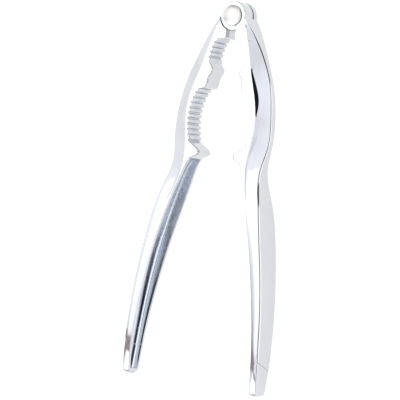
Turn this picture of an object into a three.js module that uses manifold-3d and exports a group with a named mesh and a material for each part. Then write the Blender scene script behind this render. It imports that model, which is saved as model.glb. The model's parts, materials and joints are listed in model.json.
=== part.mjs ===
// Hand nutcracker: two die-cast arms with toothed jaws, hinged at one end on a two-part rivet.
// Millimetres. The tool lies on its back: +Y points to the hinge, +X to the right arm, +Z up.
// Every shape is drawn about the hinge axis, with z = 0 in the tool's middle plane, and the
// exported group moves the whole tool so that the origin is the bottom centre of its box.

import * as THREE from 'three';
import { mergeVertices } from 'three/addons/utils/BufferGeometryUtils.js';
import Module from 'manifold-3d';

const wasm = await Module();
wasm.setup();

// Driving dimensions
const EAR_RADIUS = 7.1;
const JAW_HALF_DEPTH = 5.3;
const HANDLE_HALF_DEPTH = 7.55;
const HANDLE_END_Y = -176.8;
const LAND_TOP_Y = -97;
const LAND_BOTTOM_Y = -109;
const OUTER_WALL = 1.7;
const SIDE_WALL = 1.3;
const CHANNEL_START_Y = -70.5;
const CHANNEL_END_Y = -172.5;
const SHOULDER_X = 2.6;
const LEDGE_Y = -11.2;
const TOOTH_DEPTH = 0.7;
const SMALL_JAW_TEETH = 5;
const LARGE_JAW_TEETH = 10;
const LAP_Z = -1.65;
const GAP = 0.3;
const RUNNING_GAP = 0.1;
const SHANK_RADIUS = 2.6;
const PIN_RADIUS = 1.2;
const PIN_TOP_Z = 3.5;
const FRONT_HEAD_RADIUS = 5.1;
const FRONT_HEAD_HEIGHT = 1.9;
const REAR_HEAD_RADIUS = 4.3;
const REAR_HEAD_HEIGHT = 1.1;

// Half the width of the blocks that the cutters are made from, past every surface of the tool
const REACH = 60;
const ROUND_SEGMENTS = 48;

const vec = (x, y) => new THREE.Vector2(x, y);
const degrees = THREE.MathUtils.degToRad;

// The outer edge of an arm, from the handle's end up to the ear
const OUTER_EDGE = [
  vec(39.4, -174.5), vec(39.6, -162), vec(38.6, -143), vec(36.5, -124), vec(33.3, -105),
  vec(29.0, -86), vec(26.1, -76), vec(25.7, -70.5), vec(27.0, -63.5), vec(27.9, -56),
  vec(27.4, -47), vec(26.0, -38), vec(23.4, -28.6), vec(20.3, -21.4), vec(13.6, -9),
  vec(7.9, -1.2),
];

// The inner edge of a handle, from under the horn down to the end
const HANDLE_INNER_EDGE = [
  vec(16.0, -72.5), vec(20.4, -86), vec(26.2, -105), vec(30.3, -124), vec(33.4, -143),
  vec(35.0, -162), vec(34.9, -174.5),
];

// The smooth nose between the two toothed hollows, and the rounded horn below the large one
const NOSE = [vec(7.8, -25.8), vec(8.6, -29), vec(9.6, -33), vec(11.2, -35.3), vec(13.4, -35.9)];
const HORN = [vec(10.2, -65.2), vec(9.5, -66.3), vec(10.6, -67.7), vec(14.0, -69.6)];

// The line in plan where the jaw plate steps down into the scoop
const STEP_LINE = [
  vec(7.6, 4), vec(7.6, -0.6), vec(8.8, -6.5), vec(11.8, -16), vec(14.5, -26), vec(18.0, -36.5),
  vec(20.1, -47.5), vec(19.7, -56), vec(18.1, -68), vec(18.6, -78), vec(24.0, -98),
];

// Half the tool's depth along its length, as (y, z): it rises from the jaw plates to the handles'
// flat lands, which run between the two profiles, and falls from them to the handles' ends
const RISING_PROFILE = [
  vec(-70, JAW_HALF_DEPTH), vec(-78, 5.9), vec(-87, 6.95), vec(LAND_TOP_Y, HANDLE_HALF_DEPTH),
];
const FALLING_PROFILE = [
  vec(LAND_BOTTOM_Y, HANDLE_HALF_DEPTH), vec(-125, 7.05), vec(-145, 6.4), vec(-162, 5.65),
  vec(-178, 4.5),
];

// Half the thickness of the scoop's floor along its length, as (y, z)
const FLOOR_PROFILE = [
  vec(6, JAW_HALF_DEPTH + 1), vec(-0.5, 4.9), vec(-6.5, 3.1), vec(-13, 2.0), vec(-30, 1.5),
  vec(-52, 1.65), vec(-61, 1.95), vec(-68.5, 3.05), vec(-76, 4.4), vec(-86, 6.35),
  vec(LAND_TOP_Y, HANDLE_HALF_DEPTH + 0.1),
];

const LARGE_HOLLOW = { x: -7.1, y: -50.2, radius: 25, from: 34.8, to: -25.5 };

function toSolid(geometry) {
  const bare = geometry.clone();
  bare.deleteAttribute('normal');
  bare.deleteAttribute('uv');
  const merged = mergeVertices(bare, 1e-5);
  return new wasm.Manifold(new wasm.Mesh({
    numProp: 3,
    vertProperties: new Float32Array(merged.attributes.position.array),
    triVerts: new Uint32Array(merged.index.array),
  }));
}

function toGeometry(solid) {
  const result = solid.getMesh();
  const geometry = new THREE.BufferGeometry();
  geometry.setAttribute('position', new THREE.BufferAttribute(result.vertProperties, 3));
  geometry.setIndex(new THREE.BufferAttribute(result.triVerts, 1));
  return geometry;
}

// A plan outline, given for the right arm, extruded between two heights; side -1 mirrors it
function planSolid(points, side, bottom, top) {
  const shape = new THREE.Shape(points.map((p) => vec(side * p.x, p.y)));
  const geometry = new THREE.ExtrudeGeometry(shape, { depth: top - bottom, bevelEnabled: false });
  geometry.translate(0, 0, bottom);
  return toSolid(geometry);
}

// A (y, z) outline extruded along X, right across the tool
function acrossSolid(points) {
  const shape = new THREE.Shape(points);
  const geometry = new THREE.ExtrudeGeometry(shape, { depth: 2 * REACH, bevelEnabled: false });
  const turn = new THREE.Matrix4().makeBasis(
    new THREE.Vector3(0, 1, 0), new THREE.Vector3(0, 0, 1), new THREE.Vector3(1, 0, 0));
  geometry.applyMatrix4(turn);
  geometry.translate(-REACH, 0, 0);
  return toSolid(geometry);
}

function roundSolid(radius, bottom, top) {
  const geometry = new THREE.CylinderGeometry(radius, radius, top - bottom, ROUND_SEGMENTS);
  geometry.rotateX(Math.PI / 2);
  geometry.translate(0, 0, (bottom + top) / 2);
  return toSolid(geometry);
}

const smooth = (points, steps) => new THREE.SplineCurve(points).getPoints(steps);
const flipZ = (points) => points.map((p) => vec(p.x, -p.y)).reverse();

// A row of teeth along a curve: each crest lies on the curve, with a V groove on either side of it
function teethAlong(curve, count, groovesAtEnds) {
  const crest = [0.25, 0.5, 0.75];
  const points = [];
  for (let tooth = 0; tooth <= count; tooth += 1) {
    const along = tooth / count;
    const tangent = curve.getTangentAt(along);
    const cut = groovesAtEnds || (tooth > 0 && tooth < count);
    const into = vec(-tangent.y, tangent.x).multiplyScalar(cut ? TOOTH_DEPTH : 0);
    points.push(curve.getPointAt(along).add(into));
    if (tooth < count) {
      points.push(...crest.map((share) => curve.getPointAt((tooth + share) / count)));
    }
  }
  return points;
}

function armOutline() {
  const small = new THREE.QuadraticBezierCurve(vec(6.8, LEDGE_Y), vec(9.9, -16.5), vec(9.8, -23.2));
  const large = new THREE.EllipseCurve(
    LARGE_HOLLOW.x, LARGE_HOLLOW.y, LARGE_HOLLOW.radius, LARGE_HOLLOW.radius,
    degrees(LARGE_HOLLOW.from), degrees(LARGE_HOLLOW.to), true);
  const shoulder = Math.acos(SHOULDER_X / EAR_RADIUS);
  const ear = new THREE.EllipseCurve(
    0, 0, EAR_RADIUS, EAR_RADIUS, degrees(-6), 2 * Math.PI - shoulder, false);
  const end = new THREE.EllipseCurve(
    37.15, HANDLE_END_Y + 2, 2.25, 2, degrees(180), degrees(360), false);
  return [
    vec(SHOULDER_X, LEDGE_Y),
    ...teethAlong(small, SMALL_JAW_TEETH, false),
    ...smooth(NOSE, 8),
    ...teethAlong(large, LARGE_JAW_TEETH, true),
    ...smooth(HORN, 8),
    ...smooth(HANDLE_INNER_EDGE, 24),
    ...end.getPoints(8),
    ...smooth(OUTER_EDGE, 52),
    ...ear.getPoints(36),
  ];
}

// The region in plan outside the step line, which the scoop takes from both faces
function scoopOutline() {
  const line = smooth(STEP_LINE, 32);
  return [...line, vec(REACH, line.at(-1).y), vec(REACH, line[0].y)];
}

// The channel in plan: open on the inner side, a wall's thickness inside the outer edge
function channelOutline() {
  const wall = smooth(OUTER_EDGE, 52)
    .filter((p) => p.y > CHANNEL_END_Y && p.y < CHANNEL_START_Y)
    .map((p) => vec(p.x - OUTER_WALL, p.y));
  return [
    vec(0, CHANNEL_START_Y), vec(0, CHANNEL_END_Y), vec(wall[0].x, CHANNEL_END_Y),
    ...wall, vec(wall.at(-1).x, CHANNEL_START_Y),
  ];
}

const faceProfile = () => [...smooth(RISING_PROFILE, 10), ...smooth(FALLING_PROFILE, 12)];

function depthSolid() {
  const front = [vec(20, JAW_HALF_DEPTH), ...faceProfile()];
  return acrossSolid([...front, ...flipZ(front)]);
}

function scoopCutters(side) {
  const plan = planSolid(scoopOutline(), side, -REACH, REACH);
  const floor = smooth(FLOOR_PROFILE, 30);
  const front = [...floor, vec(floor.at(-1).x, REACH), vec(floor[0].x, REACH)];
  return [plan.intersect(acrossSolid(front)), plan.intersect(acrossSolid(flipZ(front)))];
}

// Half the channel's depth: the floor or the face, whichever is lower, less the side wall
function channelCutter(side) {
  const floor = smooth(FLOOR_PROFILE, 30).filter((p) => p.x < CHANNEL_START_Y + 8 && p.x > -92);
  const face = faceProfile().filter((p) => p.x < -92);
  const front = [...floor, ...face].map((p) => vec(p.x, p.y - SIDE_WALL));
  const plan = planSolid(channelOutline(), side, -REACH, REACH);
  return plan.intersect(acrossSolid([...front, ...flipZ(front)]));
}

// One arm: side +1 is the right arm, with the front leaf of the hinge; -1 is the left, at the back
function makeArm(side) {
  const rear = side > 0;
  const recess = rear
    ? roundSolid(EAR_RADIUS + GAP, -REACH, LAP_Z + GAP / 2)
    : roundSolid(EAR_RADIUS + GAP, LAP_Z - GAP / 2, REACH);
  let arm = planSolid(armOutline(), side, -REACH, REACH).intersect(depthSolid());
  for (const cutter of scoopCutters(side)) {
    arm = arm.subtract(cutter);
  }
  arm = arm.subtract(channelCutter(side));
  arm = arm.subtract(recess);
  arm = arm.subtract(roundSolid(SHANK_RADIUS + RUNNING_GAP, -REACH, REACH));
  return toGeometry(arm);
}

// A profile of (radius, z) points turned about the hinge axis
function turned(points) {
  const geometry = new THREE.LatheGeometry(points, ROUND_SEGMENTS);
  geometry.rotateX(Math.PI / 2);
  return toGeometry(toSolid(geometry));
}

// A domed head: from its rim on the flat side to the middle of its crown
function domePoints(radius, base, height) {
  const points = [];
  const steps = 8;
  for (let step = 0; step <= steps; step += 1) {
    const angle = (step / steps) * Math.PI / 2;
    points.push(vec(radius * Math.cos(angle), base + height * (0.35 + 0.65 * Math.sin(angle))));
  }
  points[steps].x = 0;
  return [vec(radius, base), ...points];
}

function makeRivetHead() {
  const base = JAW_HALF_DEPTH + GAP;
  return turned([
    vec(0, PIN_TOP_Z + GAP), vec(PIN_RADIUS + GAP, PIN_TOP_Z + GAP),
    vec(PIN_RADIUS + GAP, -JAW_HALF_DEPTH), vec(SHANK_RADIUS, -JAW_HALF_DEPTH),
    vec(SHANK_RADIUS, base), ...domePoints(FRONT_HEAD_RADIUS, base, FRONT_HEAD_HEIGHT),
  ]);
}

function makeRivetPin() {
  const base = -JAW_HALF_DEPTH - GAP;
  const dome = domePoints(REAR_HEAD_RADIUS, base, -REAR_HEAD_HEIGHT).reverse();
  return turned([...dome, vec(PIN_RADIUS, base), vec(PIN_RADIUS, PIN_TOP_Z), vec(0, PIN_TOP_Z)]);
}

const chrome = () => new THREE.MeshStandardMaterial({ color: 0xe6e9ee, roughness: 0.12, metalness: 1 });
const nickel = () => new THREE.MeshStandardMaterial({ color: 0xe9e4da, roughness: 0.25, metalness: 1 });

function piece(name, geometry, material) {
  const mesh = new THREE.Mesh(geometry, material);
  mesh.name = name;
  return mesh;
}

const tool = new THREE.Group();
tool.add(piece('left_arm', makeArm(-1), chrome()));
tool.add(piece('right_arm', makeArm(1), chrome()));
tool.add(piece('rivet_head', makeRivetHead(), nickel()));
tool.add(piece('rivet_pin', makeRivetPin(), nickel()));
tool.position.set(0, -(EAR_RADIUS + HANDLE_END_Y) / 2, HANDLE_HALF_DEPTH);

const group = new THREE.Group();
group.add(tool);

export default group;
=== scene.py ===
import json
import math

import bmesh
import bpy
import numpy as np
from mathutils import Matrix, Vector


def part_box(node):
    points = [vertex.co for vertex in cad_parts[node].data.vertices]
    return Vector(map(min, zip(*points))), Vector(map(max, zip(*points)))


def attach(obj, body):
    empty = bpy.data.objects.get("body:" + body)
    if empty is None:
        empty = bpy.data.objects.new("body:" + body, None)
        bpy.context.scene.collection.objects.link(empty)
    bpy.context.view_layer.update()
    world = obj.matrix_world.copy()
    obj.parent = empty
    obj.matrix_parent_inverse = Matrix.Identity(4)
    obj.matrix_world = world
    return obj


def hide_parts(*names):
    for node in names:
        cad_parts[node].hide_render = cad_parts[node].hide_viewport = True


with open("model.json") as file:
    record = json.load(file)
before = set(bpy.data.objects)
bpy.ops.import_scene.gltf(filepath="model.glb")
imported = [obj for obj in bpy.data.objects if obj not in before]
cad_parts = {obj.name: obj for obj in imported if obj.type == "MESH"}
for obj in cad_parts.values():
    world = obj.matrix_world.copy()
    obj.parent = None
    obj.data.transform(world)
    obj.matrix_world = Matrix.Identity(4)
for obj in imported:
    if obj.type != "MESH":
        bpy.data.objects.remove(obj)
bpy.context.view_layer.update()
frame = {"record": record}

# Nutcracker: the two chrome-plated arms and the rivet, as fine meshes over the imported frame.
# Shapes are worked out in millimetres about the hinge axis, as the frame is: +Y towards the
# hinge, +X towards the right arm, z = 0 in the tool's middle plane. place() turns them into
# metres in the frame.

HINGE = Vector(frame["record"]["behaviour"]["joints"][0]["pos_m"])
MM = 0.001

# Hinge
EAR_RADIUS = 7.08
LEAF_GAP = 0.3
LEAF_EDGE = 0.5
LEAF_PROUD = 0.01
LAP_Z = -1.65
SEAM_REBATE = (0.7, 0.24)
SEAM_EDGE = 0.05
HOLE_RADIUS = 2.68
CUT_PAST = 6

# Rivet
SHANK_RADIUS = 2.6
SHANK_BORE_RADIUS = 1.5
SHANK_BORE_TOP_Z = 3.8
PIN_RADIUS = 1.2
PIN_TOP_Z = 3.5
FRONT_HEAD_RADIUS = 5.1
FRONT_HEAD_EDGE = 0.9
FRONT_HEAD_LOWER = 0.35
REAR_HEAD_RADIUS = 4.3
REAR_HEAD_EDGE = 0.35
HEAD_SEAT_GAP = 0.04
HEAD_CHAMFER = (0.15, 0.12)
EDGE_ROUND = 0.45
EDGE_STEPS = 8
CAP_STEPS = 24

# Jaws
JAW_HALF_DEPTH = 5.3
SHOULDER_X = 2.6
SHOULDER_TOP_Y = 2.2
LEDGE_Y = -11.2
SHOULDER_FOOT_Y = LEDGE_Y + 0.45
TOOTH_DEPTH = 0.82
TOOTH_REACH = 2.0
SMALL_TEETH = 5
LARGE_TEETH = 10
STEPS_PER_TOOTH = 14
LARGE_HOLLOW_CENTRE = (-7.1, -50.2)
LARGE_HOLLOW_RADIUS = 25.0
LARGE_HOLLOW_FROM = math.radians(34.8)
LARGE_HOLLOW_TO = math.radians(-25.5)
# Half a groove's width and the width of its flank, as shares of a tooth's pitch
GROOVE_HALF = 0.25
GROOVE_FLANK = 0.17
# How far a crest falls away towards the grooves
CREST_ROUND = 0.10

# Handles
HANDLE_END_Y = -176.8
HANDLE_HALF_DEPTH = 7.55
HORN_EASE = 5.0
END_RADIUS = 1.7
END_TURN = 88.65
RIM = 1.25
CHANNEL_TOP_Y = -69.9
CHANNEL_END_Y = -174.5
CHANNEL_RUNOUT = 1.6
CHANNEL_DRAFT = 0.4
CHANNEL_RADII = [1.3, 0.25]
FLOOR_CROWN = 0.6
POLISH_FROM_Y = -100
POLISH_TO_Y = -150

# How many cross-sections each stretch of the arm takes
SHOULDER_POINTS = 20
NOSE_POINTS = 34
SLOPE_POINTS = 10
HORN_POINTS = 26
UPPER_CHANNEL_POINTS = 130
LOWER_CHANNEL_POINTS = 15
END_POINTS = 11

# The fine crease across a handle's outer side
CREASE_Y = -162.6
CREASE_TILT = 0.4
CREASE_STEP = 0.2
CREASE_RUN = 0.6
CREASE_CUT = 0.32
CREASE_HALF = 0.22
CREASE_REACH = 9.0
CREASE_FROM_INNER = (2.2, 3.6)
CREASE_STATIONS = [9, 5, 2.5, 1.5, 1, 0.5, 0, -0.5, -1, -1.5, -2.5, -5, -9]

# The steepest bends that are shaded smoothly, in degrees
ARM_SHARP_ANGLE = 32
RIVET_SHARP_ANGLE = 40

# Cross-sections
FACE_CROWN = 1.3
SIDE_CROWN = 0.35
JAW_CROWN_SHARE = 0.4
CROWN_ACROSS = (0.4, 1.0)
CROWN_UP = (0.4, 0.9)
STEP_SLOPE = math.radians(39)
MOST_STEP = 0.8
LEAST_FACE = 0.9
LEAST_SCOOP = 2.4
FOOT_SHARE = 0.3
FOOT_LOST_TO_STEP = 0.9
FOOT_LOST_WHERE_FLAT = 0.7
FULL_STEP = 0.4
DISH = 0.12
DISH_MIDDLE = 0.5
DISH_SHIFT_WHERE_FLAT = 0.3
DISH_RADIUS = 40.0
SMALL_ROUND = 0.3
MOST_ROUNDED = 0.45
MORE_ROUNDED_WHERE_FLAT = 0.35

# Stretches along the arm, as (start y, end y), over which its section changes
SCOOP_DISHES = (-18, -30)
HANDLE_CROWNS = (-68, -105)
SCOOP_FLATTENS = (-80, -105)
CHANNEL_DRAWS_IN = (-98, -118)

# Widths and depths along the arm, each a list of (y, value) that a smooth curve passes through.
# The outer side
OUTER_X = [
    (3, 4.2), (-1.2, 7.7), (-9, 13.6), (-21.4, 20.3), (-28.6, 23.4), (-38, 26.0), (-47, 27.4),
    (-56, 27.9), (-63.5, 27.1), (-70.5, 25.8), (-76, 26.2), (-86, 29.0), (-105, 33.3),
    (-124, 36.5), (-143, 38.6), (-162, 39.55), (-180, 39.8),
]
# The handle's inner side
HANDLE_INNER_X = [
    (-66, 14.2), (-72.5, 16.0), (-86, 20.4), (-105, 26.2), (-124, 30.3), (-143, 33.4),
    (-162, 35.0), (-180, 34.9),
]
# Where the face steps down into the scoop
STEP_X = [
    (3, 7.4), (-0.6, 7.7), (-6.5, 8.8), (-16, 11.8), (-26, 14.5), (-36.5, 18.0), (-47.5, 20.1),
    (-56, 19.7), (-68, 18.1), (-78, 19.0), (-98, 25.6), (-124, 33.0), (-143, 35.6), (-180, 37.0),
]
# How high the face lies
FACE_Z = [
    (5, 5.3), (-60, 5.3), (-68, 5.3), (-78, 5.85), (-87, 6.9), (-98, 7.5), (-108, 7.5),
    (-125, 7.05), (-145, 6.4), (-156, 5.95), (-164, 5.45), (-171, 4.75), (-176, 4.1), (-182, 3.2),
]
# How far the outer edge lies below the face
SCOOP_DROP = [
    (3, 0.0), (-1, 0.1), (-6, 1.45), (-12, 2.6), (-19, 3.6), (-26, 3.9), (-33, 3.85), (-43, 3.6),
    (-52, 3.65), (-62, 3.4), (-69, 2.6), (-77, 1.3), (-86, 0.45), (-97, 0.05), (-105, 0.0),
    (-180, 0.0),
]
# How much of that drop is the step
STEP_HEIGHT = [
    (3, 0.02), (-21, 0.02), (-27, 0.55), (-32, 1.0), (-37, 1.2), (-41, 1.0), (-44, 0.6), (-48, 0.08),
    (-55, 0.02), (-180, 0.02),
]
CHANNEL_DEPTH = [
    (-60, 4.2), (-70, 4.6), (-79, 5.6), (-87, 6.0), (-96, 5.9), (-105, 5.4), (-124, 4.6),
    (-143, 3.5), (-162, 2.9), (-180, 2.7),
]
# How far the corners at the step, the outer edge and the inner edge are rounded
STEP_RADIUS = [
    (3, 0.4), (-25, 0.3), (-44, 0.35), (-50, 1.5), (-58, 5.0), (-68, 12.0), (-180, 12.0),
]
OUTER_RADIUS = [
    (3, 1.5), (-10, 1.4), (-30, 1.2), (-60, 1.3), (-76, 1.3), (-95, 1.1), (-115, 1.0), (-143, 1.0),
    (-156, 0.9), (-166, 0.5), (-180, 0.4),
]
INNER_RADIUS = [
    (3, 0.5), (-22, 0.5), (-27, 0.8), (-34, 0.8), (-39, 0.5), (-58, 0.5), (-62, 1.1), (-66, 1.5),
    (-70, 1.3), (-80, 0.7), (-180, 0.7),
]

# The inner side from the hinge to the handle, as (x, y)
LEDGE = [
    (SHOULDER_X + 0.05, LEDGE_Y + 0.25), (SHOULDER_X + 0.16, LEDGE_Y + 0.1),
    (SHOULDER_X + 0.4, LEDGE_Y), (4.6, LEDGE_Y - 0.04), (6.3, LEDGE_Y - 0.08),
]
SMALL_HOLLOW = [(6.8, LEDGE_Y - 0.15), (9.9, -16.5), (9.8, -23.2)]
NOSE_TOP = [(9.6, -23.5), (9.2, -24.1), (8.7, -24.6), (8.3, -25.05)]
NOSE = [
    (8.0, -25.5), (7.6, -26.8), (8.2, -28.4), (9.15, -30.0), (9.6, -32.3), (10.1, -34.3),
    (11.5, -35.6), (13.4, -36.0),
]
HORN = [
    (10.9, -64.6), (9.9, -65.5), (9.45, -66.5), (10.2, -67.7), (12.0, -68.7), (14.3, -70.0),
]


def natural_spline(xs, ys):
    """Second derivatives of the natural cubic spline through rising xs."""
    count = len(xs)
    gaps = np.diff(xs)
    matrix = np.eye(count)
    right = np.zeros(count)
    for i in range(1, count - 1):
        matrix[i, i - 1:i + 2] = gaps[i - 1], 2 * (gaps[i - 1] + gaps[i]), gaps[i]
        right[i] = 6 * ((ys[i + 1] - ys[i]) / gaps[i] - (ys[i] - ys[i - 1]) / gaps[i - 1])
    return np.linalg.solve(matrix, right)


def spline_values(xs, ys, at):
    """The natural cubic spline's values at points between the first x and the last."""
    bends = natural_spline(xs, ys)
    i = np.clip(np.searchsorted(xs, at) - 1, 0, len(xs) - 2)
    gap = xs[i + 1] - xs[i]
    a = (xs[i + 1] - at) / gap
    b = (at - xs[i]) / gap
    curve = ((a ** 3 - a) * bends[i] + (b ** 3 - b) * bends[i + 1]) * gap ** 2 / 6
    return a * ys[i] + b * ys[i + 1] + curve


def along_arm(points, blur=2.5):
    """A smooth function of y through (y, value) points, with its curvature evened out."""
    pairs = sorted(points)
    ys = np.array([p[0] for p in pairs], float)
    values = np.array([p[1] for p in pairs], float)
    step = 0.05
    grid = np.arange(ys[0], ys[-1], step)
    fine = spline_values(ys, values, grid)
    reach = int(3 * blur / step)
    weights = np.exp(-0.5 * (np.arange(-reach, reach + 1) * step / blur) ** 2)
    start = fine[0] + (fine[1] - fine[0]) * np.arange(-reach, 0)
    end = fine[-1] + (fine[-1] - fine[-2]) * np.arange(1, reach + 1)
    padded = np.concatenate([start, fine, end])
    smooth = np.convolve(padded, weights / weights.sum(), "valid")
    return lambda y: float(np.interp(y, grid, smooth))


def even_points(points, count):
    """A smooth plan curve through points, cut into even steps."""
    knots = np.array(points, float)
    chord = np.concatenate([[0], np.cumsum(np.hypot(*np.diff(knots, axis=0).T))])
    at = np.linspace(0, chord[-1], count)
    return [(x, y) for x, y in zip(spline_values(chord, knots[:, 0], at),
                                   spline_values(chord, knots[:, 1], at))]


outer_x = along_arm(OUTER_X)
handle_inner_x = along_arm(HANDLE_INNER_X)
step_x = along_arm(STEP_X)
face_z = along_arm(FACE_Z, 3.0)
scoop_drop = along_arm(SCOOP_DROP, 1.5)
step_height = along_arm(STEP_HEIGHT, 1.2)
channel_depth = along_arm(CHANNEL_DEPTH, 3.0)
step_radius = along_arm(STEP_RADIUS)
outer_radius = along_arm(OUTER_RADIUS)
inner_radius = along_arm(INNER_RADIUS, 1.5)


def small_hollow(share):
    """A point of the small hollow: a curve between two points, pulled towards a third."""
    start, pull, end = SMALL_HOLLOW
    rest = 1 - share
    x = rest * rest * start[0] + 2 * rest * share * pull[0] + share * share * end[0]
    y = rest * rest * start[1] + 2 * rest * share * pull[1] + share * share * end[1]
    return x, y


def large_hollow(share):
    """A point of the large hollow, which is an arc."""
    angle = LARGE_HOLLOW_FROM + (LARGE_HOLLOW_TO - LARGE_HOLLOW_FROM) * share
    return (LARGE_HOLLOW_CENTRE[0] + LARGE_HOLLOW_RADIUS * math.cos(angle),
            LARGE_HOLLOW_CENTRE[1] + LARGE_HOLLOW_RADIUS * math.sin(angle))


def groove(phase, cut_here):
    """How deep the surface lies at a phase of the pitch, which is 0 at a groove's middle."""
    near = min(phase, 1 - phase)
    flank = min(max((GROOVE_HALF - near) / GROOVE_FLANK, 0.0), 1.0)
    depth = TOOTH_DEPTH * flank * flank * (3 - 2 * flank)
    crest = CREST_ROUND * (2 * max(near, GROOVE_HALF) - 1) ** 2 / (1 - 2 * GROOVE_HALF) ** 2
    return (depth if cut_here else 0.0) + crest


def plain(points):
    """Stations without teeth or channel, at (x, y) points of the inner side."""
    return [(y, x, y, "plain", 0.0) for x, y in points]


def toothed(curve, teeth, grooves_at_ends):
    """Stations along a toothed hollow, with the grooves cut square to its curve."""
    stations = []
    steps = teeth * STEPS_PER_TOOTH
    nudge = 0.001
    for i in range(1, steps + 1):
        share = i / steps
        x, y = curve(share)
        before, after = curve(share - nudge), curve(share + nudge)
        tangent = Vector((after[0] - before[0], after[1] - before[1])).normalized()
        cut_here = grooves_at_ends or 0 < round(share * teeth) < teeth
        depth = groove((share * teeth) % 1.0, cut_here)
        stations.append((y, x - tangent.y * depth, y + tangent.x * depth, "teeth", 0.0))
    return stations


def jaw_stations():
    """The shoulder and ledge, the small hollow, the nose, the large hollow and the horn."""
    shoulder_ys = np.linspace(SHOULDER_TOP_Y, SHOULDER_FOOT_Y, SHOULDER_POINTS)
    shoulder = [(SHOULDER_X, y) for y in shoulder_ys]
    small = toothed(small_hollow, SMALL_TEETH, False)
    nose = NOSE_TOP + even_points(NOSE, NOSE_POINTS)
    large = toothed(large_hollow, LARGE_TEETH, True)
    start_x, start_y = large[-1][1], large[-1][2] - 0.05
    end_x, end_y = HORN[0]
    slope = [(start_x + (end_x - start_x) * t, start_y + (end_y - start_y) * t)
             for t in np.linspace(0.08, 0.92, SLOPE_POINTS)]
    horn = [p for p in even_points(HORN, HORN_POINTS) if p[1] > CHANNEL_TOP_Y + 0.02]
    return plain(shoulder + LEDGE) + small + plain(nose) + large + plain(slope + horn)


def handle_inner(y):
    """The handle's inner side, which sets off from the horn's foot."""
    foot_x, foot_y = HORN[-1]
    near = max(0.0, 1 - (CHANNEL_TOP_Y - y) / HORN_EASE)
    return handle_inner_x(y) + (foot_x - handle_inner_x(foot_y)) * near * near


def channel_stations():
    """The handle as far as its channel goes, closest together at the run-out and at the crease."""
    runout = CHANNEL_TOP_Y - CHANNEL_RUNOUT * (1 - np.cos(np.radians(np.arange(9, 91, 9))))
    upper_top = CHANNEL_TOP_Y - CHANNEL_RUNOUT - 0.5
    upper = np.linspace(upper_top, CREASE_Y + 3, UPPER_CHANNEL_POINTS)
    crease = CREASE_Y + CREASE_HALF * np.array(CREASE_STATIONS)
    lower = np.linspace(CREASE_Y - 2.7, CHANNEL_END_Y + 0.4, LOWER_CHANNEL_POINTS)
    ys = [CHANNEL_TOP_Y - 0.005, *runout, *upper, *crease, *lower, CHANNEL_END_Y]
    return [(y, handle_inner(y), y, "channel", 0.0) for y in ys]


def end_stations():
    """The solid end of the handle. Its last edge is rounded, almost through a right angle."""
    round_from = HANDLE_END_Y + END_RADIUS
    ys = [CHANNEL_END_Y - 0.04, *np.linspace(CHANNEL_END_Y - 0.2, round_from + 0.1, 3)]
    stations = plain([(handle_inner(y), y) for y in ys])
    for turn in np.radians(np.linspace(0, END_TURN, END_POINTS)):
        y = round_from - END_RADIUS * math.sin(turn)
        stations.append((y, handle_inner(y), y, "plain", END_RADIUS * (1 - math.cos(turn))))
    return stations


def arm_stations():
    """Every cross-section of an arm from the hinge to the handle's end: (base y, inner x, inner y,
    kind, inset), kind being plain, teeth or channel, and inset how far it is drawn in all round."""
    top = plain([(handle_inner(CHANNEL_TOP_Y), CHANNEL_TOP_Y)])
    return jaw_stations() + top + channel_stations() + end_stations()


def rounded(before, corner, after, radius, count, most):
    """An arc that rounds a corner: count points, from the first tangent point to the last.
    It takes up no more than the share called most of the straight before it."""
    back, ahead = before - corner, after - corner
    back_length, ahead_length = np.hypot(*back), np.hypot(*ahead)
    back, ahead = back / back_length, ahead / ahead_length
    half = math.acos(max(-1.0, min(1.0, float(back @ ahead)))) / 2
    reach = radius / max(math.tan(half), 1e-6)
    reach = min(max(reach, 0.05), most * back_length, MOST_ROUNDED * ahead_length)
    weight = math.sin(half)
    first, last = corner + back * reach, corner + ahead * reach
    points = []
    for t in np.linspace(0, 1, count):
        share = np.array([(1 - t) ** 2, 2 * t * (1 - t) * weight, t * t])
        points.append((share @ np.array([first, corner, last])) / share.sum())
    return points


def straight(start, end, count):
    """Points between two others, with one close to each end to keep the shading flat."""
    length = np.hypot(*(end - start))
    edge = min(0.15 / max(length, 1e-6), 0.2)
    shares = np.linspace(edge, 1 - edge, count) if count > 1 else np.array([0.5])
    return [start + (end - start) * s for s in shares]


def eased(value, low, high):
    """0 below low, 1 above high, smooth between."""
    share = np.clip((value - low) / (high - low), 0, 1)
    return share * share * (3 - 2 * share)


def down_arm(base, start_y, end_y):
    """0 above start_y and 1 below end_y, smooth between."""
    return float(eased(-base, -start_y, -end_y))


KINDS = ["plain", "teeth", "channel"]
# Points on each straight and each arc of half a section, from the inner side round to the outer
STRAIGHT_COUNTS = [6, 4, 3, 6, 2, 2, 2, 6]
ARC_COUNTS = [5, 4, 6, 6, 4, 9, 9]


def inner_corners(base, x_in, rim_z, kind):
    """The corners of a section's inner side from the middle plane up, and their radii. A plain
    section has as many corners as a channelled one, but in a straight line."""
    if kind != "channel":
        return [(x_in, 0), (x_in, 0.3 * rim_z), (x_in, 0.5 * rim_z)], [SMALL_ROUND, SMALL_ROUND]
    near = max(0.0, 1 - (CHANNEL_TOP_Y - base) / CHANNEL_RUNOUT)
    deep = channel_depth(base) - CHANNEL_RUNOUT * (1 - math.sqrt(1 - near * near))
    wall_z = rim_z - CHANNEL_DRAFT * down_arm(base, *CHANNEL_DRAWS_IN)
    return [(x_in + deep, 0), (x_in + deep, wall_z), (x_in, rim_z)], CHANNEL_RADII


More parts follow.
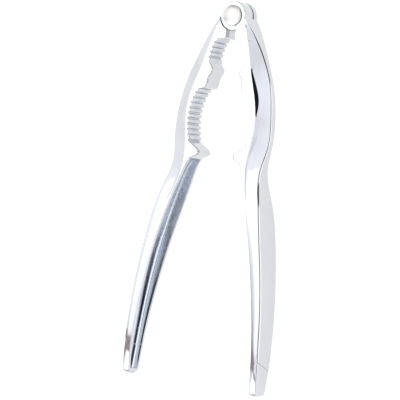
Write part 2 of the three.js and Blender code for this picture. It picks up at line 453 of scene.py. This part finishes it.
def outer_corners(base, x_in, x_out, face):
    """The corners from a section's inner edge over the face, down the step and across the dished
    scoop to the outer side and the middle plane."""
    drop = max(scoop_drop(base), 0.0)
    step = min(max(step_height(base), 0.0), MOST_STEP * drop)
    x_step = min(max(step_x(base), x_in + LEAST_FACE), x_out - LEAST_SCOOP)
    x_wall = x_step + step / math.tan(STEP_SLOPE)
    flat = down_arm(base, *SCOOP_FLATTENS)
    dish = DISH * down_arm(base, *SCOOP_DISHES)
    ahead = FOOT_SHARE * (1 - FOOT_LOST_TO_STEP * float(eased(step, 0.0, FULL_STEP)))
    ahead *= 1 - FOOT_LOST_WHERE_FLAT * flat
    x_foot = x_wall + ahead * (x_out - x_wall)
    z_foot = face - step - (drop - step) * ahead * (1 + dish)
    x_dish = x_foot + (DISH_MIDDLE - DISH_SHIFT_WHERE_FLAT * flat) * (x_out - x_foot)
    z_dish = (z_foot + face - drop) / 2 - dish * (drop - step) / 4
    return [(x_in, face), (x_step, face), (x_foot, z_foot), (x_dish, z_dish),
            (x_out, face - drop), (x_out, 0)]


def half_section(station):
    """Half of one cross-section, as (x, z) points with z from 0 up, over, and back to 0."""
    base, inner, _, kind, inset = station
    x_in = inner + inset
    x_out = outer_x(base) - inset
    face = min(face_z(base), HANDLE_HALF_DEPTH) - inset
    rim_z = face - RIM
    corners, radii = inner_corners(base, x_in, rim_z, kind)
    corners = [np.array(c, float) for c in corners + outer_corners(base, x_in, x_out, face)]
    edge_radius = max(outer_radius(base) - inset, SMALL_ROUND)
    radii = radii + [inner_radius(base), step_radius(base), SMALL_ROUND + step_radius(base),
                     DISH_RADIUS, edge_radius]
    most = [MOST_ROUNDED] * len(radii)
    most[-1] += MORE_ROUNDED_WHERE_FLAT * down_arm(base, *SCOOP_FLATTENS)
    points = [corners[0]]
    for i, radius in enumerate(radii):
        arc = rounded(*corners[i:i + 3], radius, ARC_COUNTS[i], most[i])
        points += straight(points[-1], arc[0], STRAIGHT_COUNTS[i]) + arc
    points += straight(points[-1], corners[-1], STRAIGHT_COUNTS[-1]) + [corners[-1]]
    points = np.array(points)
    if kind == "channel":
        floor = points[:1 + STRAIGHT_COUNTS[0] + ARC_COUNTS[0]]
        crown = FLOOR_CROWN * (1 - down_arm(base, *CHANNEL_DRAWS_IN))
        floor[:, 0] -= crown * (1 - np.clip(floor[:, 1] / rim_z, 0, 1) ** 2)
    return points


def bowed(half, base):
    """Crowns the face and the outer side slightly, as cast and polished metal is. The crowns
    begin at shares of the section's width and depth."""
    x_in, x_out = half[:, 0].min(), half[:, 0].max()
    over = (half[:, 0] - x_in) / (x_out - x_in)
    up = half[:, 1] / half[:, 1].max()
    handle = down_arm(base, *HANDLE_CROWNS)
    side = SIDE_CROWN * (JAW_CROWN_SHARE + (1 - JAW_CROWN_SHARE) * handle)
    half[:, 0] -= side * up ** 2 * eased(over, *CROWN_ACROSS)
    half[:, 1] -= FACE_CROWN * handle * (over - 0.5) ** 2 * eased(up, *CROWN_UP)
    return half


def crease_depth(base):
    """How far the outer side lies in: by a sharp cut at the crease, and by a small step below it."""
    below = CREASE_Y - base
    cut = CREASE_CUT * max(0, 1 - abs(below) / CREASE_HALF)
    return CREASE_STEP * eased(below, 0.0, CREASE_RUN) + cut


def arm_loops():
    """The rings of points of the right arm, one for each station, and each ring's kind."""
    rings, kinds = [], []
    for station in arm_stations():
        base, x_in, y_in, kind, _ = station
        half = bowed(half_section(station), base)
        back = half[-2:0:-1] * np.array([1, -1])
        ring = np.concatenate([half, back])
        from_inner = ring[:, 0] - x_in
        y = base + (y_in - base) * np.clip(1 - from_inner / TOOTH_REACH, 0, 1) ** 2
        outward = eased(from_inner, *CREASE_FROM_INNER)
        nearby = eased(CREASE_REACH - abs(base - CREASE_Y), 0.0, CREASE_REACH)
        y = y + CREASE_TILT * ring[:, 1] * nearby * outward
        x = ring[:, 0] - crease_depth(base) * outward
        rings.append(np.stack([x, y, ring[:, 1]], axis=1))
        kinds.append(kind)
    return rings, kinds


def place(points, side):
    """Millimetres about the hinge to metres in the frame; side -1 mirrors to the left arm."""
    scaled = np.array(points, float) * MM * np.array([side, 1, 1])
    return scaled + np.array(HINGE)


def new_mesh(name, points, faces, materials, indices):
    """A mesh with its materials and each face's material index."""
    mesh = bpy.data.meshes.new(name)
    mesh.from_pydata([tuple(p) for p in points], [], faces)
    for finish in materials:
        mesh.materials.append(finish)
    mesh.polygons.foreach_set("material_index", indices)
    mesh.update()
    return mesh


def new_object(name, mesh):
    """An object in the scene, at the origin."""
    made = bpy.data.objects.new(name, mesh)
    bpy.context.scene.collection.objects.link(made)
    return made


def lofted(name, rings, kinds, side, materials):
    """A closed skin over the rings, with the toothed faces in material 1, which carries painted
    shade, and the channel in 2, which carries painted light.
    """
    width = len(rings[0])
    points = place(np.concatenate(rings), side)
    inner_span = 1 + sum(STRAIGHT_COUNTS[:2]) + sum(ARC_COUNTS[:2])
    faces, indices = [], []
    for r in range(len(rings) - 1):
        for i in range(width):
            j = (i + 1) % width
            quad = (r * width + i, r * width + j, (r + 1) * width + j, (r + 1) * width + i)
            faces.append(quad[::-1] if side > 0 else quad)
            inside = min(i, width - 1 - i) < inner_span
            kind = kinds[r] if inside and kinds[r] == kinds[r + 1] else "plain"
            indices.append(KINDS.index(kind))
    first = tuple(range(width))
    last = tuple((len(rings) - 1) * width + i for i in range(width))
    faces += [first, last[::-1]] if side > 0 else [first[::-1], last]
    indices += [0, 0]
    return new_object(name, new_mesh(name, points, faces, materials, indices))


def turned(name, profile, segments=96):
    """A solid of revolution about the hinge axis from (radius, z) points, in millimetres."""
    made = bmesh.new()
    rows = []
    for radius, z in profile:
        if radius < 1e-6:
            rows.append([made.verts.new((0, 0, z))])
        else:
            angles = [2 * math.pi * k / segments for k in range(segments)]
            rows.append([made.verts.new((radius * math.cos(a), radius * math.sin(a), z))
                         for a in angles])
    for low, high in zip(rows, rows[1:]):
        for k in range(segments):
            n = (k + 1) % segments
            corners = [low[k % len(low)], low[n % len(low)],
                       high[n % len(high)], high[k % len(high)]]
            unique = list(dict.fromkeys(corners))
            if len(unique) > 2:
                made.faces.new(unique)
    bmesh.ops.recalc_face_normals(made, faces=made.faces[:])
    mesh = bpy.data.meshes.new(name)
    made.to_mesh(mesh)
    made.free()
    mesh.transform(Matrix.Translation(HINGE) @ Matrix.Scale(MM, 4))
    return new_object(name, mesh)


def combine(target, operation, tool):
    """Joins a tool solid to the target or cuts it away, and removes the tool."""
    change = target.modifiers.new("combine", "BOOLEAN")
    change.operation = operation
    change.solver = "MANIFOLD"
    change.object = tool
    graph = bpy.context.evaluated_depsgraph_get()
    result = bpy.data.meshes.new_from_object(target.evaluated_get(graph))
    target.modifiers.clear()
    old = target.data
    target.data = result
    bpy.data.meshes.remove(old)
    bpy.data.objects.remove(tool)


def finish_surface(piece, finish, angle):
    """Merges stray doubles, shades smoothly up to an angle, and gives a bare piece its finish."""
    made = bmesh.new()
    made.from_mesh(piece.data)
    bmesh.ops.remove_doubles(made, verts=made.verts[:], dist=1e-7)
    made.to_mesh(piece.data)
    made.free()
    if not piece.data.materials:
        piece.data.materials.append(finish)
    piece.data.polygons.foreach_set("use_smooth", [True] * len(piece.data.polygons))
    piece.data.set_sharp_from_angle(angle=math.radians(angle))


def leaf_profile(bottom, top, seam_on_top):
    """(radius, z) points of a hinge leaf: its outer rim is rounded, and at the seam it is stepped
    back."""
    way = -1 if seam_on_top else 1
    seam, outside = (top, bottom) if seam_on_top else (bottom, top)
    inset, height = SEAM_REBATE
    points = [
        (0, seam),
        (EAR_RADIUS - inset, seam),
        (EAR_RADIUS - inset, seam + way * height),
        (EAR_RADIUS - SEAM_EDGE, seam + way * height),
        (EAR_RADIUS, seam + way * (height + SEAM_EDGE)),
    ]
    for turn in np.radians(np.arange(0, 91, 15)):
        points.append((EAR_RADIUS - LEAF_EDGE + LEAF_EDGE * math.cos(turn),
                       outside + way * LEAF_EDGE * (math.sin(turn) - 1)))
    return points + [(0, outside)]


def plug(radius, bottom, top):
    """(radius, z) points of a plain round cutter."""
    return [(0, bottom), (radius, bottom), (radius, top), (0, top)]


def make_arm(name, side, materials):
    """Side 1 is the right arm, with the front leaf of the hinge; -1 is the left, at the back."""
    rings, kinds = arm_loops()
    arm = lofted(name, rings, kinds, side, materials)
    far = JAW_HALF_DEPTH + CUT_PAST
    face = JAW_HALF_DEPTH + LEAF_PROUD
    recess_radius = EAR_RADIUS + LEAF_GAP
    if side > 0:
        inside = LAP_Z + LEAF_GAP / 2
        recess = plug(recess_radius, -far, inside)
        leaf = leaf_profile(inside, face, False)
    else:
        inside = LAP_Z - LEAF_GAP / 2
        recess = plug(recess_radius, inside, far)
        leaf = leaf_profile(-face, inside, True)
    combine(arm, "DIFFERENCE", turned("recess", recess))
    combine(arm, "UNION", turned("leaf", leaf))
    combine(arm, "DIFFERENCE", turned("hole", plug(HOLE_RADIUS, -far, far)))
    finish_surface(arm, materials[0], ARM_SHARP_ANGLE)
    return arm


def dome(radius, seat, height, edge):
    """(radius, z) points of a rivet head from its seat: a chamfer, an upright rim, a rounded edge
    and a shallow spherical cap. A height below 0 turns it over."""
    way = 1 if height > 0 else -1
    slope = 2 * math.atan((abs(height) - edge) / (radius - EDGE_ROUND))
    across, up = HEAD_CHAMFER
    points = [(radius - across, seat), (radius, seat + way * up)]
    centre = edge - EDGE_ROUND * math.cos(slope)
    for k in range(EDGE_STEPS + 1):
        turn = (math.pi / 2 - slope) * k / EDGE_STEPS
        points.append((radius - EDGE_ROUND * (1 - math.cos(turn)),
                       seat + way * (centre + EDGE_ROUND * math.sin(turn))))
    rim_radius, rise = points[-1][0], abs(points[-1][1] - seat)
    sphere = rim_radius / math.sin(slope)
    for k in range(1, CAP_STEPS):
        turn = slope * (1 - k / CAP_STEPS)
        points.append((sphere * math.sin(turn),
                       seat + way * (rise + sphere * (math.cos(turn) - math.cos(slope)))))
    return points + [(0.0, seat + way * (rise + sphere * (1 - math.cos(slope))))]


def make_rivet_head(finish):
    """The front dome with its tubular shank, which the pin fits into."""
    seat = JAW_HALF_DEPTH + LEAF_PROUD + HEAD_SEAT_GAP
    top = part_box("rivet_head")[1][2] / MM - HINGE.z / MM
    shank = [
        (0, SHANK_BORE_TOP_Z),
        (SHANK_BORE_RADIUS, SHANK_BORE_TOP_Z),
        (SHANK_BORE_RADIUS, -JAW_HALF_DEPTH),
        (SHANK_RADIUS, -JAW_HALF_DEPTH),
        (SHANK_RADIUS, seat),
    ]
    cap = dome(FRONT_HEAD_RADIUS, seat, top - seat - FRONT_HEAD_LOWER, FRONT_HEAD_EDGE)
    head = turned("rivet_head_fine", shank + cap)
    finish_surface(head, finish, RIVET_SHARP_ANGLE)
    return head


def make_rivet_pin(finish):
    """The rear head with its pin."""
    seat = -JAW_HALF_DEPTH - LEAF_PROUD - HEAD_SEAT_GAP
    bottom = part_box("rivet_pin")[0][2] / MM - HINGE.z / MM
    head = dome(REAR_HEAD_RADIUS, seat, bottom - seat, REAR_HEAD_EDGE)[::-1]
    stem = [(PIN_RADIUS, seat), (PIN_RADIUS, PIN_TOP_Z), (0, PIN_TOP_Z)]
    pin = turned("rivet_pin_fine", head + stem)
    finish_surface(pin, finish, RIVET_SHARP_ANGLE)
    return pin


# Plated metal: how far its tone drifts, and the height of its ripples in metres
TONE_DRIFT = 0.02
RELIEF = 0.0001
# Features for each metre in its tone, haze and hairlines, which are drawn out along Y
DRIFT_SCALE = 60
HAZE_SCALE = 160
HAIR_SCALE = 2600
HAIR_SQUASH = (1, 0.03, 1)


def material(name):
    """A new material, with its tree and its shader."""
    made = bpy.data.materials.new(name)
    made.use_nodes = True
    return made, made.node_tree, made.node_tree.nodes["Principled BSDF"]


def feed(tree, socket, value):
    """Links a value that varies to a socket, or sets a plain one on it."""
    if isinstance(value, bpy.types.NodeSocket):
        tree.links.new(value, socket)
    else:
        socket.default_value = value


def maths(tree, operation, first, second=None):
    """The result of a maths node."""
    node = tree.nodes.new("ShaderNodeMath")
    node.operation = operation
    feed(tree, node.inputs[0], first)
    if second is not None:
        feed(tree, node.inputs[1], second)
    return node.outputs["Value"]


def mixed(tree, factor, first, second, blend="MIX"):
    """Two colours mixed by a factor."""
    node = tree.nodes.new("ShaderNodeMix")
    node.data_type = "RGBA"
    node.blend_type = blend
    feed(tree, node.inputs["Factor"], factor)
    feed(tree, node.inputs[6], first)
    feed(tree, node.inputs[7], second)
    return node.outputs[2]


def remapped(tree, value, old, new=(0.0, 1.0), kind="LINEAR"):
    """A value taken from one range to another, and held at its ends."""
    node = tree.nodes.new("ShaderNodeMapRange")
    node.interpolation_type = kind
    node.inputs["From Min"].default_value = old[0]
    node.inputs["From Max"].default_value = old[1]
    node.inputs["To Min"].default_value = new[0]
    node.inputs["To Max"].default_value = new[1]
    tree.links.new(value, node.inputs["Value"])
    return node.outputs["Result"]


def noise(tree, scale, detail, squash=(1, 1, 1)):
    """Object-space noise, with scale in features for each metre."""
    coordinates = tree.nodes.new("ShaderNodeTexCoord")
    mapping = tree.nodes.new("ShaderNodeMapping")
    mapping.inputs["Scale"].default_value = squash
    texture = tree.nodes.new("ShaderNodeTexNoise")
    texture.inputs["Scale"].default_value = scale
    texture.inputs["Detail"].default_value = detail
    tree.links.new(coordinates.outputs["Object"], mapping.inputs["Vector"])
    tree.links.new(mapping.outputs["Vector"], texture.inputs["Vector"])
    return texture.outputs["Fac"]


def spread(tree, value, low, high):
    """Noise, which mostly lies between 0.3 and 0.7, spread over low to high."""
    return remapped(tree, value, (0.3, 0.7), (low, high))


def polish_along(tree, share):
    """1 towards the hinge, falling to share at the handle's end, where hands have polished it."""
    where = tree.nodes.new("ShaderNodeSeparateXYZ")
    coordinates = tree.nodes.new("ShaderNodeTexCoord")
    tree.links.new(coordinates.outputs["Object"], where.inputs["Vector"])
    stretch = (HINGE.y + POLISH_FROM_Y * MM, HINGE.y + POLISH_TO_Y * MM)
    return remapped(tree, where.outputs["Y"], stretch, (1.0, share), "SMOOTHSTEP")


def plated(name, colour, rough, ripple, bump, hair, polished_end=None):
    """Plated metal: its tone drifts, its roughness lies between the two in rough, hairline marks
    change that by up to the share called hair, and it ripples faintly where it was cast, with
    ripple waves for each metre at the strength called bump. With polished_end, it is only that
    share as rough at the handle's end."""
    made, tree, shader = material(name)
    shader.inputs["Metallic"].default_value = 1.0
    darkest = [part * (1 - TONE_DRIFT) for part in colour] + [1]
    lightest = [part * (1 + TONE_DRIFT) for part in colour] + [1]
    drift = spread(tree, noise(tree, DRIFT_SCALE, 4), 0, 1)
    feed(tree, shader.inputs["Base Color"], mixed(tree, drift, darkest, lightest))
    roughness = spread(tree, noise(tree, HAZE_SCALE, 6), *rough)
    if polished_end is not None:
        roughness = maths(tree, "MULTIPLY", roughness, polish_along(tree, polished_end))
    marks = spread(tree, noise(tree, HAIR_SCALE, 3, HAIR_SQUASH), 1 - hair, 1 + hair)
    feed(tree, shader.inputs["Roughness"], maths(tree, "MULTIPLY", roughness, marks))
    relief = tree.nodes.new("ShaderNodeBump")
    relief.inputs["Strength"].default_value = bump
    relief.inputs["Distance"].default_value = RELIEF
    feed(tree, relief.inputs["Height"], noise(tree, ripple, 2))
    feed(tree, shader.inputs["Normal"], relief.outputs["Normal"])
    return made


FLOOR_HALF = 1.5
TABLE_GLOW = 0.95


def floor_material():
    """A pale table that is lit from within, so that the tool casts only a faint shadow on it."""
    made, _, shader = material("studio_floor")
    shader.inputs["Base Color"].default_value = (0.25, 0.25, 0.25, 1)
    shader.inputs["Roughness"].default_value = 0.9
    shader.inputs["Specular IOR Level"].default_value = 0.0
    shader.inputs["Emission Color"].default_value = (1, 1, 1, 1)
    shader.inputs["Emission Strength"].default_value = TABLE_GLOW
    return made


def make_floor():
    """The flat table that the tool lies on."""
    corners = [(x * FLOOR_HALF, y * FLOOR_HALF, 0) for x, y in ((-1, -1), (1, -1), (1, 1), (-1, 1))]
    mesh = new_mesh("studio_floor", corners, [(0, 1, 2, 3)], [floor_material()], [0])
    floor = new_object("studio_floor", mesh)
    return floor


# The studio is a tunnel of panels along Y. Each row is an angle from straight up, positive
# towards +X, and the brightness and colour of the panel there.
PANELS = [
    (-90, 1.15, (0.99, 0.995, 1.0)),
    (-75, 1.25, (0.98, 0.99, 1.0)),
    (-60, 1.3, (0.96, 0.975, 1.0)),
    (-46, 1.45, (0.94, 0.955, 1.0)),
    (-35, 1.95, (1.0, 1.0, 1.0)),
    (-12, 1.95, (1.0, 1.0, 1.0)),
    (-2, 1.45, (0.94, 0.955, 1.0)),
    (12, 1.38, (0.94, 0.955, 1.0)),
    (29, 1.1, (0.94, 0.955, 1.0)),
    (33, 0.02, (0.8, 0.9, 1.0)),
    (55, 0.02, (0.8, 0.9, 1.0)),
    (59, 1.8, (1.0, 1.0, 1.0)),
    (90, 1.8, (1.0, 1.0, 1.0)),
]
# The tunnel's end walls take over between these two slants
END_WALLS = (1.22, 1.25, 1.33)
END_WALLS_FROM = 36
END_WALLS_TO = 46
# Along the tunnel the panels are dimmed: each row is a slant towards +Y in degrees, and what is
# left there. A dark gap parts the panels from the far end wall.
ALONG = [
    (-90, (0.3, 0.31, 0.33)),
    (-62, (0.42, 0.43, 0.46)),
    (-46, (0.8, 0.81, 0.84)),
    (-31, (0.8, 0.81, 0.84)),
    (-27, (1.15, 1.15, 1.2)),
    (-15.5, (1.15, 1.15, 1.2)),
    (-13.5, (0.8, 0.81, 0.84)),
    (-8.5, (0.8, 0.81, 0.84)),
    (-4, (1, 1, 1)),
    (28, (1, 1, 1)),
    (31, (0.12, 0.12, 0.13)),
    (41, (0.12, 0.12, 0.13)),
    (45, (1, 1, 1)),
    (52, (1, 1, 1)),
    (68, (0.5, 0.51, 0.54)),
    (90, (0.3, 0.31, 0.33)),
]
# A narrow brown card on the left. Its middle line is level as far as CARD_FROM, and slopes from
# there to CARD_TO, where it ends; both are (tilt, slant).
CARD_FROM = (-67, -9.5)
CARD_TO = (-8, -13.6)
CARD_HALF = 1.75
CARD_SIDE_FADE = 0.3
CARD_END_FADE = 2
CARD_COLOUR = (0.45, 0.39, 0.36)
# The world's strength, which every panel's colour is divided by
PANEL_SCALE = 2.0

CAMERA_AZIMUTH = math.radians(34.9)
CAMERA_TILT = math.radians(1.4)
CAMERA_ROLL = math.radians(7.3)
CAMERA_DISTANCE = 1.236
CAMERA_LENS = 233.6
AIM = Vector((-0.0048, -0.0041, 0.0135))


def camera_axes():
    """The right, up and backward axes of a camera above the tool and to its right."""
    back = Vector((math.sin(CAMERA_AZIMUTH) * math.cos(CAMERA_TILT), math.sin(CAMERA_TILT),
                   math.cos(CAMERA_AZIMUTH) * math.cos(CAMERA_TILT)))
    level = Vector((math.cos(CAMERA_AZIMUTH), 0, -math.sin(CAMERA_AZIMUTH)))
    upright = back.cross(level)
    right = level * math.cos(CAMERA_ROLL) + upright * math.sin(CAMERA_ROLL)
    return right, back.cross(right), back


def make_camera():
    """The scene's camera, which looks at AIM."""
    right, up, back = camera_axes()
    data = bpy.data.cameras.new("camera")
    data.lens = CAMERA_LENS
    data.sensor_width = 36
    data.clip_start = 0.05
    data.clip_end = 10
    camera = new_object("camera", data)
    turn = Matrix((right, up, back)).transposed().to_4x4()
    camera.matrix_world = Matrix.Translation(AIM + back * CAMERA_DISTANCE) @ turn
    bpy.context.scene.camera = camera


def panel_colour(tint):
    """A panel's brightness and colour, as the world's nodes hold it."""
    return [part / PANEL_SCALE for part in tint] + [1]


def graded(tree, angle, low, high):
    """0 at the low angle and 1 at the high one, both in degrees."""
    return remapped(tree, angle, (math.radians(low), math.radians(high)), kind="SMOOTHSTEP")


def ramp_over(tree, angle, rows):
    """A colour for each angle, through rows of degrees and colour."""
    ramp = tree.nodes.new("ShaderNodeValToRGB")
    ramp.color_ramp.interpolation = "EASE"
    stops = ramp.color_ramp.elements
    while len(stops) < len(rows):
        stops.new(0.5)
    for stop, (degrees, colour) in zip(stops, rows):
        stop.position = (degrees + 90) / 180
        stop.color = colour
    share = remapped(tree, angle, (math.radians(-90), math.radians(90)))
    tree.links.new(share, ramp.inputs["Fac"])
    return ramp.outputs["Color"]


def on_card(tree, tilt, slant):
    """1 on the brown card and 0 off it."""
    start_tilt, start_slant = CARD_FROM
    end_tilt, end_slant = CARD_TO
    fall = (end_slant - start_slant) / (end_tilt - start_tilt)
    start = math.radians(start_tilt)
    along = maths(tree, "SUBTRACT", maths(tree, "MAXIMUM", tilt, start), start)
    middle = maths(tree, "ADD", maths(tree, "MULTIPLY", along, fall), math.radians(start_slant))
    off_middle = maths(tree, "ABSOLUTE", maths(tree, "SUBTRACT", slant, middle))
    across = graded(tree, off_middle, CARD_HALF + CARD_SIDE_FADE, CARD_HALF - CARD_SIDE_FADE)
    before_end = graded(tree, tilt, end_tilt + CARD_END_FADE, end_tilt - CARD_END_FADE)
    return maths(tree, "MULTIPLY", across, before_end)


def make_world():
    """The studio: panels along the tool, with dark gaps and a card that give the plate its
    contrast. Directions are told apart by their tilt about Y and their slant towards +Y."""
    world = bpy.data.worlds.new("studio")
    bpy.context.scene.world = world
    world.use_nodes = True
    tree = world.node_tree
    where = tree.nodes.new("ShaderNodeSeparateXYZ")
    coordinates = tree.nodes.new("ShaderNodeTexCoord")
    tree.links.new(coordinates.outputs["Generated"], where.inputs["Vector"])
    tilt = maths(tree, "ARCTAN2", where.outputs["X"], where.outputs["Z"])
    slant = maths(tree, "ARCSINE", where.outputs["Y"])
    steepness = maths(tree, "ARCSINE", maths(tree, "ABSOLUTE", where.outputs["Y"]))
    panels = [(angle, panel_colour([bright * part for part in tint]))
              for angle, bright, tint in PANELS]
    at_end = graded(tree, steepness, END_WALLS_FROM, END_WALLS_TO)
    light = mixed(tree, at_end, ramp_over(tree, tilt, panels), panel_colour(END_WALLS))
    dimming = ramp_over(tree, slant, [(angle, [*left, 1]) for angle, left in ALONG])
    light = mixed(tree, 1.0, light, dimming, "MULTIPLY")
    light = mixed(tree, on_card(tree, tilt, slant), light, panel_colour(CARD_COLOUR))
    sky = tree.nodes["Background"]
    tree.links.new(light, sky.inputs["Color"])
    sky.inputs["Strength"].default_value = PANEL_SCALE


make_camera()
make_world()
make_floor()

chrome = plated("chrome_plate", (0.61, 0.62, 0.64), rough=(0.04, 0.07), ripple=90, bump=0.03,
                hair=0.35)
# The toothed faces: rougher satin plate, with a base colour a little darker and cooler than the
# plate's. The darker colour is painted shade, standing in for the darkness of the grooves across the
# whole toothed face.
toothed_chrome_painted_shade = plated("chrome_plate_toothed_painted_shade", (0.57, 0.6, 0.64), rough=(0.26, 0.32), ripple=400,
                        bump=0.06, hair=0.3)
# The handle channels: rougher plate, polished smoother towards the handle's end, with a base colour
# lighter and bluer than the plate's. The lighter, bluer colour is painted light, lifting the recess.
channel_chrome_painted_light = plated("chrome_plate_channel_painted_light", (0.72, 0.755, 0.81), rough=(0.26, 0.32), ripple=400,
                        bump=0.06, hair=0.3, polished_end=0.35)
nickel = plated("nickel_rivet", (0.69, 0.675, 0.64), rough=(0.3, 0.36), ripple=300, bump=0.03,
                hair=0.08)

right_arm = make_arm("right_arm_fine", 1, [chrome, toothed_chrome_painted_shade, channel_chrome_painted_light])
left_arm = make_arm("left_arm_fine", -1, [chrome, toothed_chrome_painted_shade, channel_chrome_painted_light])
rivet_head = make_rivet_head(nickel)
rivet_pin = make_rivet_pin(nickel)

for piece, node, body, finish in (
    (left_arm, "left_arm", "left_side", "chrome_plate"),
    (right_arm, "right_arm", "right_side", "chrome_plate"),
    (rivet_head, "rivet_head", "left_side", "nickel_rivet"),
    (rivet_pin, "rivet_pin", "left_side", "nickel_rivet"),
):
    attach(piece, body)
    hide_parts(node)

bpy.context.scene.view_settings.view_transform = "Standard"
